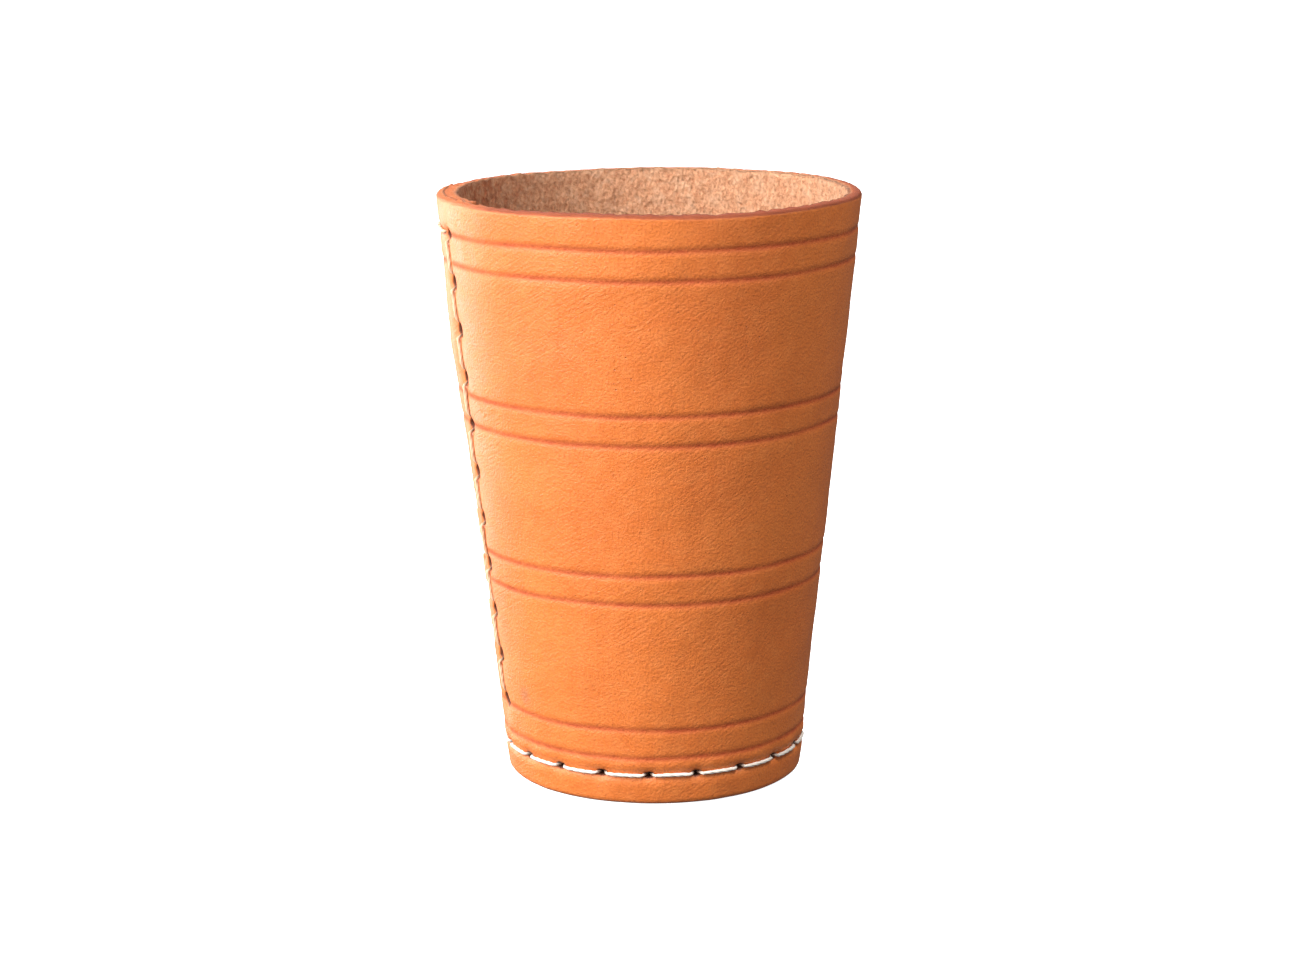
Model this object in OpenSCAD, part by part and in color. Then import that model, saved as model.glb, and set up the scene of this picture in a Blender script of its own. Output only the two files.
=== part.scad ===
// Leather dice cup.
// One tapered sheet of leather is rolled into a cup and its two ends lap in a side seam. A
// pressed leather base with a flange turned down closes the foot. Both seams are lockstitched:
// an outer and an inner thread twist round each other halfway through the leather.
// The origin is the middle of the foot, on the surface that the cup stands on. +Z is up, -Y is
// the front, and the side seam is on the -X side. Angles are in degrees, anticlockwise from +X.

/* [Cup] */
// Height of the cup
cup_h = 95; // [85:1:110]
// Outer radius at the mouth
mouth_r = 34; // [32:0.5:38]
// Outer radius at the foot
foot_r = 24; // [23:0.5:28]
// Thickness of the wall leather
wall_t = 2.3; // [2:0.1:2.6]
// Chamfer on the outer edge of the rim and the foot
edge_cut = 0.5; // [0.2:0.1:0.8]

/* [Creased lines] */
// Number of pairs of creased lines
crease_pairs = 4; // [1:1:4]
// Height of the middle of the lowest pair
crease_low_z = 10.2; // [9.8:0.1:11]
// Height of the middle of the highest pair, below the rim
crease_rim_drop = 7.7; // [6:0.1:9]
// Distance between the two lines of a pair
crease_gap = 4.7; // [3:0.1:5]
// Width of a creased line
crease_w = 0.9; // [0.5:0.1:1.2]
// Depth of a creased line
crease_depth = 0.45; // [0.2:0.05:0.6]

/* [Side seam] */
// Thickness of the two skived ends together, where they lap
lap_t = 3.6; // [3.4:0.1:3.8]
// How far the tucked-under end is set in, which thins the end that covers it
lap_shift = 2; // [1.8:0.1:2.1]
// Height of the lowest stitch hole
side_low_z = 13; // [12.5:0.5:16]
// Depth of the highest stitch hole below the rim
side_rim_drop = 5.4; // [4:0.1:8]
// Number of stitch holes in each of the two rows
side_holes_per_row = 11; // [8:1:12]

/* [Base] */
// Thickness of the base leather
base_t = 2; // [1.6:0.1:2.2]
// Height of the floor inside the cup
floor_z = 9.6; // [9:0.1:10]
// Radius of the bend between floor and flange
base_bend_r = 2.6; // [2.5:0.1:3]
// Height of the row of stitches
base_seam_z = 5; // [4.5:0.1:5.2]
// Number of stitches round the foot
base_stitches = 20; // [16:1:20]

/* [Thread] */
// Diameter of the outer thread
outer_thread_d = 0.7; // [0.6:0.05:0.9]
// Diameter of the inner thread
inner_thread_d = 0.7; // [0.6:0.05:0.8]
// Length of a stitch hole
hole_len = 2; // [1.9:0.1:2.4]
// Width of a stitch hole
hole_w = 1.2; // [1.15:0.05:1.4]

/* [Hidden] */
$fn = 96;

leather_colour = [0.90, 0.60, 0.38];
base_colour = [0.82, 0.58, 0.41];
thread_colour = [0.93, 0.91, 0.86];

// Where the sheet starts to tuck under, where the covering end stops, where the tucked end stops
roll_a = 110;
cover_a = 164;
tuck_a = 209;
// The front and rear rows of the side seam, and the single hole between their tops
front_row_a = 198;
rear_row_a = 175;
cross_a = (front_row_a + rear_row_a) / 2;
cross_rise = 0.6;
// The stitch hole of the base seam that its threads start and end in
base_first_a = 88;

ply_gap = 0.08;    // hairline gap between the lapped ends
turn_step = 0.02;    // the tucked turn is this much thinner on every face where the two turns join
base_gap = 0.1;    // gap between the wall and the base
flange_z = 0.3;    // the flange stops just short of the surface that the cup stands on
seam_channel = [1.1, 0.6, 0.42];    // mouth width, floor width and depth under the base seam
side_channel = [1.1, 0.42];    // width and depth of the channel under the side seam
over = 2;    // how far a cutting shape runs past what it cuts

squeezed_r = 0.23;    // radius of a thread where the hole squeezes it
twist_r = 0.33;    // radius at which the two threads twist round each other
twist_run = 0.45;    // half the length of that twist
leg_run = 0.4;    // where a thread stands up in its hole, from the hole's middle
leg_depth = 0.8;
// Where a thread bends over the hole's end, and how high its middle then lies, outside and
// inside. The outer face has channels, so the outer thread lies lower.
outer_bend = [0.95, 0.15];
inner_bend = [0.72, inner_thread_d / 2];
outer_lay = 0.08;
inner_lay = inner_thread_d / 2 + 0.02;
// How far ahead, in degrees, a thread rises for a step in the leather: at a hole, and between two
hole_reach = 6;
lay_reach = 3;
thread_sides = 6;

taper = atan((mouth_r - foot_r) / cup_h);
wall_run = wall_t / cos(taper);    // horizontal thickness of the wall
lap_run = lap_t / cos(taper);    // horizontal thickness of the lapped ends
tuck_offset = lap_shift * [cos(roll_a), sin(roll_a), 0];
crease_step = (cup_h - crease_rim_drop - crease_low_z) / max(crease_pairs - 1, 1);
crease_heights = [
    for (pair = [0 : crease_pairs - 1], side = [-0.5, 0.5])
        crease_low_z + pair * crease_step + side * crease_gap
];
side_step = (cup_h - side_rim_drop - side_low_z) / (side_holes_per_row - 1);
row_heights = [for (i = [0 : side_holes_per_row - 1]) side_low_z + i * side_step];
row_top = row_heights[side_holes_per_row - 1];

// Every hole is [angle, height]. The side seam runs up the front row, across, and down the rear.
side_holes = concat(
    [for (z = row_heights) [front_row_a, z]],
    [[cross_a, row_top + cross_rise]],
    [for (i = [side_holes_per_row - 1 : -1 : 0]) [rear_row_a, row_heights[i]]]
);
base_holes = [
    for (i = [0 : base_stitches]) [base_first_a + i * 360 / base_stitches, base_seam_z]
];

// Radius of the wall's outer cone at height z
function cone_r(z) = foot_r + (mouth_r - foot_r) * z / cup_h;

// How far the tucked-under turn lies inside a circle of radius r, at angle a
function dip(a, r) =
    let (turn = a - roll_a, tucked_r = r - lap_shift)
    r - lap_shift * cos(turn) - sqrt(tucked_r * tucked_r - pow(lap_shift * sin(turn), 2));

// Radius of the wall's outer and inner faces
function outer_r(a, z) = let (b = a % 360, r = cone_r(z))
    b > roll_a && b < cover_a ? r - dip(b, r) : r;
function inner_r(a, z) = let (b = a % 360, r = cone_r(z) - wall_run)
    b < roll_a || b > tuck_a ? r
    : max(r - dip(b, r), b < cover_a ? 0 : cone_r(z) - lap_run);

function polar(a, z, r) = [r * cos(a), r * sin(a), z];

function unit(v) = v / norm(v);

// Direction in the leather from one hole to another: along the ring, and up
function stitch_dir(from, to) = unit(
    [(to[0] - from[0]) * PI / 180 * cone_r((from[1] + to[1]) / 2), to[1] - from[1]]
);

// ---- The wall ----

// The three sides of a pressed line at height z, on the outer face of a turn set in by inset
function pressed_line(z, mouth_w, floor_w, depth, inset) = [
    [cone_r(z - mouth_w / 2) - inset, z - mouth_w / 2],
    [cone_r(z - floor_w / 2) - inset - depth, z - floor_w / 2],
    [cone_r(z + floor_w / 2) - inset - depth, z + floor_w / 2],
    [cone_r(z + mouth_w / 2) - inset, z + mouth_w / 2]
];

// Cross-section of a turn that is set in by inset and thinner by skin on every face, up its
// outer face and down its inner face
function sheet_outline(inset, skin) =
    let (low = skin, high = cup_h - skin, out = inset + skin)
    concat(
        [[cone_r(low) - out - edge_cut, low], [cone_r(edge_cut) - out, edge_cut]],
        pressed_line(base_seam_z, seam_channel[0], seam_channel[1], seam_channel[2], out),
        [
            for (z = crease_heights)
                each pressed_line(z, crease_w, crease_w / 3, crease_depth, out)
        ],
        [
            [cone_r(cup_h - edge_cut) - out, cup_h - edge_cut],
            [cone_r(high) - out - edge_cut, high],
            [cone_r(high) - inset - wall_run + skin, high],
            [cone_r(low) - inset - wall_run + skin, low]
        ]
    );

// Everything inside the outer cone set in by inset
module cone(inset) {
    translate([0, 0, -over])
        cylinder(
            h = cup_h + 2 * over,
            r1 = cone_r(-over) - inset,
            r2 = cone_r(cup_h + over) - inset
        );
}

module tucked_cone(inset) {
    translate(tuck_offset) cone(lap_shift + inset);
}

// A full-height slice of pie between two angles less than 180 degrees apart
module wedge(from, to) {
    reach = 3 * mouth_r;
    translate([0, 0, -2 * over])
        linear_extrude(cup_h + 4 * over)
            polygon([
                [0, 0],
                for (a = [from, (from + to) / 2, to]) reach * [cos(a), sin(a)]
            ]);
}

// The visible turn, thinned from inside where it covers the tucked end
module covering_turn() {
    difference() {
        rotate([0, 0, cover_a])
            rotate_extrude(angle = 360 - cover_a + roll_a)
                polygon(sheet_outline(0, 0));
        intersection() {
            wedge(cover_a - 2, tuck_a + 2);
            tucked_cone(-ply_gap);
        }
    }
}

// The last of the sheet, which swings inwards and runs on under the covering end. It starts one
// degree inside the covering turn.
module tucked_turn() {
    difference() {
        intersection() {
            translate(tuck_offset)
                rotate([0, 0, roll_a - 1])
                    rotate_extrude(angle = 130)
                        polygon(sheet_outline(lap_shift, turn_step));
            wedge(roll_a - 20, tuck_a);
        }
        cone(lap_run);
    }
}

// Puts its children on the outer cone, X outwards, Y along the ring, Z up the slope
module on_cone(hole) {
    rotate([0, 0, hole[0]])
        translate([cone_r(hole[1]), 0, hole[1]])
            rotate([0, taper, 0])
                children();
}

// Long hole through all the leather at one place
module stitch_hole(hole, upright) {
    depth = lap_run + base_t + over;
    spread = (hole_len - hole_w) / 2;
    on_cone(hole)
        rotate([upright ? 0 : 90, 0, 0])
            translate([-depth, 0, 0])
                rotate([0, 90, 0])
                    linear_extrude(depth + over) {
                        square([2 * spread, hole_w], center = true);
                        for (end = [-spread, spread]) translate([end, 0]) circle(d = hole_w);
                    }
}

module side_stitch_holes() {
    for (a = [front_row_a, rear_row_a], z = row_heights) stitch_hole([a, z], true);
    for (a = [front_row_a, rear_row_a]) stitch_hole([a, row_top], false);
    stitch_hole([cross_a, row_top + cross_rise], false);
}

module base_stitch_holes() {
    for (i = [0 : base_stitches - 1]) stitch_hole(base_holes[i], false);
}

// Straight channel in the outer face from one hole to another
module channel(from, to) {
    dir = stitch_dir(from, to);
    length = norm(polar(from[0], from[1], cone_r(from[1])) - polar(to[0], to[1], cone_r(to[1])));
    on_cone((from + to) / 2)
        rotate([atan2(dir.y, dir.x), 0, 0])
            translate([-side_channel[1], -length / 2, -side_channel[0] / 2])
                cube([side_channel[1] + over, length, side_channel[0]]);
}

module side_channels() {
    for (a = [front_row_a, rear_row_a]) {
        channel([a, side_low_z], [a, row_top]);
        channel([a, row_top], [cross_a, row_top + cross_rise]);
    }
}

module wall() {
    color(leather_colour)
        difference() {
            union() {
                covering_turn();
                tucked_turn();
            }
            side_channels();
            side_stitch_holes();
            base_stitch_holes();
        }
}

// ---- The base ----

// Half outline of a cap that fits the wall with a gap, its top at top_z and its bend of radius r
function cap_outline(gap, low_z, top_z, r) =
    let (side_z = top_z - r, side_r = cone_r(side_z) - wall_run - gap)
    concat(
        [[0, low_z], [cone_r(low_z) - wall_run - gap, low_z]],
        [for (a = [0 : 15 : 90]) [side_r - r + r * cos(a), side_z + r * sin(a)]],
        [[0, top_z]]
    );

// Where the lapped ends stand inside the wall's inner cone, with a gap round them
module lap_room(gap) {
    difference() {
        wedge(roll_a + 15, tuck_a + 0.5);
        tucked_cone(wall_run + gap);
        cone(lap_run + gap);
    }
}

module cap(gap, low_z, top_z, r) {
    difference() {
        rotate_extrude() polygon(cap_outline(gap, low_z, top_z, r));
        lap_room(gap);
    }
}

module base() {
    color(base_colour)
        difference() {
            cap(base_gap, flange_z, floor_z, base_bend_r);
            cap(base_gap + base_t, flange_z - over, floor_z - base_t, base_bend_r - base_t);
            base_stitch_holes();
        }
}

// ---- The threads ----

// A place at radius r under or over the point of the cone at angle a and height z, along the
// slope of the stitch holes
function at_depth(a, z, r) = polar(a, z + (cone_r(z) - r) * tan(taper), r);

// A place near a hole: along and across the direction dir in the leather, at radius r
function near_hole(hole, dir, along, across, r) =
    let (turn = (along * dir.x - across * dir.y) / cone_r(hole[1]) * 180 / PI)
    at_depth(hole[0] + turn, hole[1] + along * dir.y + across * dir.x, r);

// Radius of the face that a thread lies on, and the way out of the leather: 1 is outwards.
// under is the thickness of what lies inside the wall.
function face_r(a, z, way, under) = way > 0 ? outer_r(a, z) : inner_r(a, z) - under;

// A ring of the thread is [middle, radius]. This one is in the twist, at 90 in the hole's middle.
function twist_ring(hole, dir, turn, way, under) =
    let (
        mid_r = (face_r(hole[0], hole[1], 1, under) + face_r(hole[0], hole[1], -1, under)) / 2,
        along = -twist_run * cos(turn),
        across = way * twist_r * cos(turn)
    )
    [near_hole(hole, dir, along, across, mid_r - way * twist_r * sin(turn)), squeezed_r];

// The thread standing up in its hole. end is 1 after the hole and -1 before it.
function leg_ring(hole, dir, end, way, under) =
    let (r = face_r(hole[0], hole[1], way, under) - way * leg_depth)
    [near_hole(hole, dir, end * leg_run, 0, r), squeezed_r];

// The highest part of the face near angle a, for a stitch that runs in direction dir, so that
// the thread rises in time where it climbs a lapped end
function lying_r(a, z, reach, dir, way, under) =
    let (near = reach * abs(dir.x))
    way * max([for (b = [a - near, a, a + near]) way * face_r(b, z, way, under)]);

// The thread where it bends over the end of its hole
function bend_ring(hole, dir, end, way, under, thread_r) =
    let (
        bend = way > 0 ? outer_bend : inner_bend,
        r = lying_r(hole[0], hole[1], hole_reach, dir, way, under) + way * bend[1]
    )
    [near_hole(hole, dir, end * bend[0], 0, r), thread_r - 0.05];

// The thread on the leather, part of the way from one hole to the next
function lay_ring(from, to, part, way, under, thread_r) =
    let (
        a = from[0] + (to[0] - from[0]) * part,
        z = from[1] + (to[1] - from[1]) * part,
        lying = lying_r(a, z, lay_reach, stitch_dir(from, to), way, under)
    )
    [at_depth(a, z, lying + way * (way > 0 ? outer_lay : inner_lay)), thread_r];

// Rings from the middle of one hole to the middle of the next. The threads twist along
// dirs[0] in the first hole and dirs[1] in the second.
function stitch_rings(from, to, dirs, way, under, thread_r, turns) =
    let (dir = stitch_dir(from, to))
    [
        for (turn = turns[0]) twist_ring(from, dirs[0], turn, way, under),
        leg_ring(from, dir, 1, way, under),
        bend_ring(from, dir, 1, way, under, thread_r),
        for (part = [0.3, 0.5, 0.7]) lay_ring(from, to, part, way, under, thread_r),
        bend_ring(to, dir, -1, way, under, thread_r),
        leg_ring(to, dir, -1, way, under),
        for (turn = turns[1]) twist_ring(to, dirs[1], turn, way, under)
    ];

// The thread's direction through each hole, halfway between those of its two stitches. The
// thread's own ends stop just short of the middle of the first and last holes.
function thread_rings(holes, way, under, thread_r) =
    let (
        last = len(holes) - 1,
        dirs = [
            for (i = [0 : last])
                unit(
                    stitch_dir(holes[max(i - 1, 0)], holes[max(i, 1)])
                    + stitch_dir(holes[min(i, last - 1)], holes[min(i + 1, last)])
                )
        ]
    )
    [
        for (i = [0 : last - 1])
            each stitch_rings(
                holes[i], holes[i + 1], [dirs[i], dirs[i + 1]], way, under, thread_r,
                [[i == 0 ? 100 : 135, 180], [0, 45, i == last - 1 ? 80 : 90]]
            )
    ];

// The part of v square to the unit vector axis, at unit length
function square_to(v, axis) = unit(v - (v * axis) * axis);

// One tube through all the rings. The direction of its first corner is carried from ring to ring.
module tube(rings) {
    last = len(rings) - 1;
    ways = [
        for (i = [0 : last]) unit(rings[min(i + 1, last)][0] - rings[max(i - 1, 0)][0])
    ];
    corners = [
        for (
            i = 0, corner = square_to([0.3, 0.2, 1], ways[0]);
            i <= last;
            i = i + 1, corner = square_to(corner, ways[min(i, last)])
        ) corner
    ];
    points = [
        for (i = [0 : last], k = [0 : thread_sides - 1])
            let (a = 360 * k / thread_sides, side = cross(ways[i], corners[i]))
            rings[i][0] + rings[i][1] * (cos(a) * corners[i] + sin(a) * side)
    ];
    faces = [
        [for (k = [0 : thread_sides - 1]) k],
        for (i = [0 : last - 1], k = [0 : thread_sides - 1])
            let (low = i * thread_sides, high = low + thread_sides, next = (k + 1) % thread_sides)
            each [[low + k, high + next, low + next], [low + k, high + k, high + next]],
        [for (k = [thread_sides - 1 : -1 : 0]) last * thread_sides + k]
    ];
    polyhedron(points, faces);
}

module side_seam_outer_thread() {
    color(thread_colour) tube(thread_rings(side_holes, 1, 0, outer_thread_d / 2));
}

module side_seam_inner_thread() {
    color(thread_colour) tube(thread_rings(side_holes, -1, 0, inner_thread_d / 2));
}

module base_seam_outer_thread() {
    color(thread_colour)
        tube(thread_rings(base_holes, 1, base_gap + base_t, outer_thread_d / 2));
}

module base_seam_inner_thread() {
    color(thread_colour)
        tube(thread_rings(base_holes, -1, base_gap + base_t, inner_thread_d / 2));
}

wall();
base();
side_seam_outer_thread();
side_seam_inner_thread();
base_seam_outer_thread();
base_seam_inner_thread();
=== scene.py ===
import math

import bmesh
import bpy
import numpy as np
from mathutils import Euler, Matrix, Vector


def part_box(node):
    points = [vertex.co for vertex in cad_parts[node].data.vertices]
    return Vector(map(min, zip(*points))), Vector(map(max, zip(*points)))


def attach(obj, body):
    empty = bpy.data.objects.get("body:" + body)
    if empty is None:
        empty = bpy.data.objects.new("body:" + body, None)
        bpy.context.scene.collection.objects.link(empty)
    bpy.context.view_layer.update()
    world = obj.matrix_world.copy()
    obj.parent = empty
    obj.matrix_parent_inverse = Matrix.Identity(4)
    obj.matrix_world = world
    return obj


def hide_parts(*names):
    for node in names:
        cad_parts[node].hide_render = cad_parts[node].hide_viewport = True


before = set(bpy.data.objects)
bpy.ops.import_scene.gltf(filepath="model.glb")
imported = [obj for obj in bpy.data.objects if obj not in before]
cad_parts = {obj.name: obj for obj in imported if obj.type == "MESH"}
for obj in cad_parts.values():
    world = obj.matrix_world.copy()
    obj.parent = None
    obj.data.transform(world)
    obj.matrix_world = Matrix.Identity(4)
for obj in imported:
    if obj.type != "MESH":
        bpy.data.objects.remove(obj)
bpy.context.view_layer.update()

# Looks of the leather dice cup, in millimetres and degrees, in the part's own frame: the origin
# is the middle of the foot, Z is up and -Y is the front. Angles, whose names end in _A, run
# anticlockwise from +X, and the side seam is on the -X side. Both leather pieces are sheets with
# two skins. A point of a sheet is (u, v, w): u runs round the cup, v across the sheet, and w
# through it, from 0 on the grain side to 1 on the flesh side.

MM = 0.001

# ---- Sizes that the CAD part has too ----

# The wall: a cone
CUP_H = 1000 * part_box("wall")[1].z
MOUTH_R = 34.0
FOOT_R = 24.0
WALL_T = 2.3

# The lap. From ROLL_A on, the tucked end curves inwards by LAP_SHIFT, to stop at TUCK_A.
# The covering end starts at COVER_A and lies over it. Together they are LAP_T thick.
LAP_T = 3.6
LAP_SHIFT = 2.0
ROLL_A = 110.0
COVER_A = 164.0
TUCK_A = 209.0
PLY_GAP = 0.08

# Pairs of creased lines round the wall
CREASE_FIRST_Z = 10.2
CREASE_PAIR_STEP = 25.7
CREASE_HALF_GAP = 2.35
CREASES = [
    CREASE_FIRST_Z + pair * CREASE_PAIR_STEP + side * CREASE_HALF_GAP
    for pair in range(4)
    for side in (-1, 1)
]

# The side seam: two rows of holes, and one hole between their tops
FRONT_ROW_A = 198.0
REAR_ROW_A = 175.0
SIDE_FIRST_Z = 13.0
SIDE_STEP = 7.66
SIDE_ROW_Z = [SIDE_FIRST_Z + i * SIDE_STEP for i in range(11)]
CROSS_HOLE = ((FRONT_ROW_A + REAR_ROW_A) / 2, SIDE_ROW_Z[-1] + 0.6)

# The seam round the foot
BASE_SEAM_Z = 5.0
BASE_STITCHES = 20
BASE_FIRST_A = 88.0

# The base: a pressed disc with its flange turned down from FLOOR_Z to FLANGE_Z
BASE_T = 2.0
BASE_GAP = 0.1
FLOOR_Z = 9.6
FLANGE_Z = 0.3
BEND_R = 2.6

# ---- Sizes that only the looks have ----
THREAD_R = 0.34
FOOT_THREAD_R = 0.3
CREASE_DEPTH = 0.14
CREASE_WIDTH = 0.44
BASE_ROW_DEPTH = 0.3
SIDE_ROW_DEPTH = 0.22
CROSS_DEPTH = 0.25
HOLE_DENT = 0.25
# The side seam's holes are torn this far away from the strip between its rows.
TORN_A = 1.4
SIDE_HOLE_LONG = 2.9
SIDE_HOLE_TALL = 2.7
TOP_HOLE_TALL = 1.8
PLAIN_HOLE = (1.9, 1.05)
# A greyish finger mark low on the wall, near the side seam
SMUDGE_A = 216.5
SMUDGE_Z = 15.2
SMUDGE_R = 1.4

# ---- Sizes that follow from those ----
TAPER = math.atan((MOUTH_R - FOOT_R) / CUP_H)
WALL_RUN = WALL_T / math.cos(TAPER)
LAP_RUN = LAP_T / math.cos(TAPER)
# Sheet angles count on past a full turn: where the tucked end stops, and where it is covered
SHEET_END = TUCK_A + 360
COVERED_A = COVER_A + 360
BASE_PITCH_A = 360 / BASE_STITCHES

# ---- Irregularity, from seeded choices and so the same on every run ----


def ripple(x, y, seed, shortest, longest, count=14):
    """A soft uneven field over x and y: waves of every direction, about -1 to 1."""
    rng = np.random.default_rng(seed)
    total = 0.0
    for _ in range(count):
        length = rng.uniform(shortest, longest)
        heading, phase = rng.uniform(0, 2 * math.pi, 2)
        along = x * math.cos(heading) + y * math.sin(heading)
        total = total + np.sin(2 * math.pi * along / length + phase)
    return total / math.sqrt(count)


def round_ripple(angle, seed, lowest, highest):
    """A soft uneven value round the cup, which meets itself after a full turn."""
    rng = np.random.default_rng(seed)
    total = 0.0
    for waves in range(lowest, highest + 1):
        phase = rng.uniform(0, 2 * math.pi)
        total = total + rng.uniform(0.5, 1) * np.sin(waves * np.radians(angle) + phase)
    return total / math.sqrt(highest - lowest + 1)


def smooth_step(x, low, high):
    """0 below low and 1 above high, eased between them."""
    t = np.clip((x - low) / (high - low), 0, 1)
    return t * t * (3 - 2 * t)


def hill(x, width):
    """1 at x = 0, falling off over width to both sides."""
    return np.exp(-((x / width) ** 2))


def hand_made(points):
    """The lean and the unevenness of a cup rolled by hand, the same for all its pieces."""
    x, y, z = points.T
    angle = np.degrees(np.arctan2(y, x))
    up = z / CUP_H
    waves = 0.12 * up * round_ripple(angle, 3, 2, 4)
    belly = 0.18 * np.sin(math.pi * up)
    # The foot stands out most at its front right.
    foot_bulge = 0.4 * hill(z, 7) * np.maximum(np.cos(np.radians(angle + 40)), 0)
    swell = waves + belly + foot_bulge
    # A point nearer the middle than the wall swells less.
    wall_r = 30
    outward = np.hypot(x, y) / wall_r
    lean = 0.1 - 0.25 * up
    rise = 0.16 * up**8 * round_ripple(angle, 4, 2, 6)
    return np.stack(
        [
            x + lean + swell * outward * np.cos(np.radians(angle)),
            y + swell * outward * np.sin(np.radians(angle)),
            z + rise,
        ],
        axis=1,
    )


# ---- The wall's two skins ----


def cone_r(z):
    """Radius of the plain outside of the wall."""
    return FOOT_R + (MOUTH_R - FOOT_R) * z / CUP_H


def dip(angle, r):
    """How far the tucked end lies inside a circle of radius r."""
    turn = np.radians(angle - ROLL_A)
    tucked_r = r - LAP_SHIFT
    return r - LAP_SHIFT * np.cos(turn) - np.sqrt(tucked_r**2 - (LAP_SHIFT * np.sin(turn)) ** 2)


def flat_pattern(u, z):
    """Where a point of the wall lies on the sheet before it was rolled."""
    slant = (z + FOOT_R / math.tan(TAPER)) / math.cos(TAPER)
    turn = np.radians(u - 270) * math.sin(TAPER)
    return slant * np.sin(turn), slant * np.cos(turn)


# Each hole is (u, z, length along u, length along z).
SIDE_HOLES = [
    (a, z, SIDE_HOLE_LONG, TOP_HOLE_TALL if z == SIDE_ROW_Z[-1] else SIDE_HOLE_TALL)
    for a in (FRONT_ROW_A + TORN_A, REAR_ROW_A - TORN_A)
    for z in SIDE_ROW_Z
] + [CROSS_HOLE + PLAIN_HOLE]
BASE_HOLES = [
    (BASE_FIRST_A + i * 360 / BASE_STITCHES, BASE_SEAM_Z) + PLAIN_HOLE for i in range(BASE_STITCHES)
]
FLANGE_HOLES = BASE_HOLES + [(hole[0] + 360,) + hole[1:] for hole in BASE_HOLES]


def holes_within(holes, low, high):
    """Every hole again at each turn of the sheet that passes it, between two sheet angles."""
    return [
        (hole[0] + turn,) + hole[1:]
        for turn in (0, 360)
        for hole in holes
        if low < hole[0] + turn < high
    ]


# No hole is cut closer than 5 degrees to an end of the sheet.
WALL_HOLES = holes_within(SIDE_HOLES + BASE_HOLES, COVER_A + 5, SHEET_END - 5)
VISIBLE_HOLES = [hole for hole in WALL_HOLES if hole[0] < COVERED_A]
INSIDE_HOLES = [hole for hole in WALL_HOLES if hole[0] > TUCK_A]


def near_holes(u, z, holes, reach):
    """1 at a hole, falling off over reach millimetres."""
    total = np.zeros(np.shape(u))
    for hole_u, hole_z, long_u, long_z in holes:
        x = np.radians(u - hole_u) * cone_r(hole_z)
        away = np.hypot(x / (long_u / 2 + reach), (z - hole_z) / (long_z / 2 + reach))
        total = np.maximum(total, hill(away, 0.8))
    return total


def crease_depth(u, z):
    """How far the creased lines press the grain side in, with a low bulge beside each."""
    angle = u % 360
    fade = 1 - 0.85 * hill(angle - FRONT_ROW_A, 2.6) - 0.85 * hill(angle - REAR_ROW_A, 2.6)
    total = 0.0
    for number, crease_z in enumerate(CREASES):
        middle = crease_z + 0.1 * round_ripple(angle, 20 + number, 2, 9)
        depth = CREASE_DEPTH + 0.02 * round_ripple(angle, 40 + number, 3, 17)
        off = z - middle
        total = total + depth * hill(off, CREASE_WIDTH) - 0.008 * hill(abs(off) - 1.2, 0.5)
    return fade * total


def row_depth(across, along, pitch, depth):
    """The channel that a row of stitches pulls into the leather, deepest at its holes."""
    at_hole = 0.5 + 0.5 * np.cos(2 * math.pi * along / pitch)
    channel_width = 0.7
    return depth * (0.8 + 0.3 * at_hole) * hill(across, channel_width)


def base_seam_depth(u, z):
    """How far the row of stitches round the foot pulls the grain side in."""
    across = z - BASE_SEAM_Z
    along = u % 360 - BASE_FIRST_A
    between = 0.5 - 0.5 * np.cos(2 * math.pi * along / BASE_PITCH_A)
    bulge = 0.07 * (0.5 + between) * hill(abs(across) - 1.6, 0.75)
    return row_depth(across, along, BASE_PITCH_A, BASE_ROW_DEPTH) - bulge


def side_seam_depth(u, z):
    """How far both rows of the side seam, and the stitch across, pull the grain side in."""
    angle = u % 360
    first, last = SIDE_ROW_Z[0], SIDE_ROW_Z[-1]
    sewn = smooth_step(z, first - 3, first) * (1 - smooth_step(z, last, last + 2))
    total = 0.0
    for row_a in (FRONT_ROW_A, REAR_ROW_A):
        across = np.radians(angle - row_a) * cone_r(z)
        total = total + sewn * row_depth(across, z - first, SIDE_STEP, SIDE_ROW_DEPTH)
    cross = hill(z - CROSS_HOLE[1] + 0.3, 0.7) * smooth_step(angle, REAR_ROW_A - 1.5, REAR_ROW_A)
    return total + CROSS_DEPTH * cross * (1 - smooth_step(angle, FRONT_ROW_A, FRONT_ROW_A + 1.5))


def lap_rise(u, z):
    """How far the strip between the side seam's rows stands out, or sinks."""
    angle = u % 360
    front = np.radians(FRONT_ROW_A - angle) * cone_r(z)
    rear = np.radians(angle - REAR_ROW_A) * cone_r(z)
    strip = smooth_step(np.minimum(front, rear), 0.6, 2.6)
    sewn = smooth_step(z, 8, 12) * (1 - smooth_step(z, 83, 89))
    scallop = 1 - 0.15 * np.cos(2 * math.pi * (z - SIDE_ROW_Z[0]) / SIDE_STEP)
    upper_lump, lower_hollow = 0.3 * hill(z - 71, 9), 0.5 * hill(z - 35, 20)
    lump = 0.12 + upper_lump - lower_hollow + 0.03 * ripple(z, 0 * z, 15, 12, 30)
    return strip * sewn * scallop * lump * (u < COVERED_A)


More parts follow.
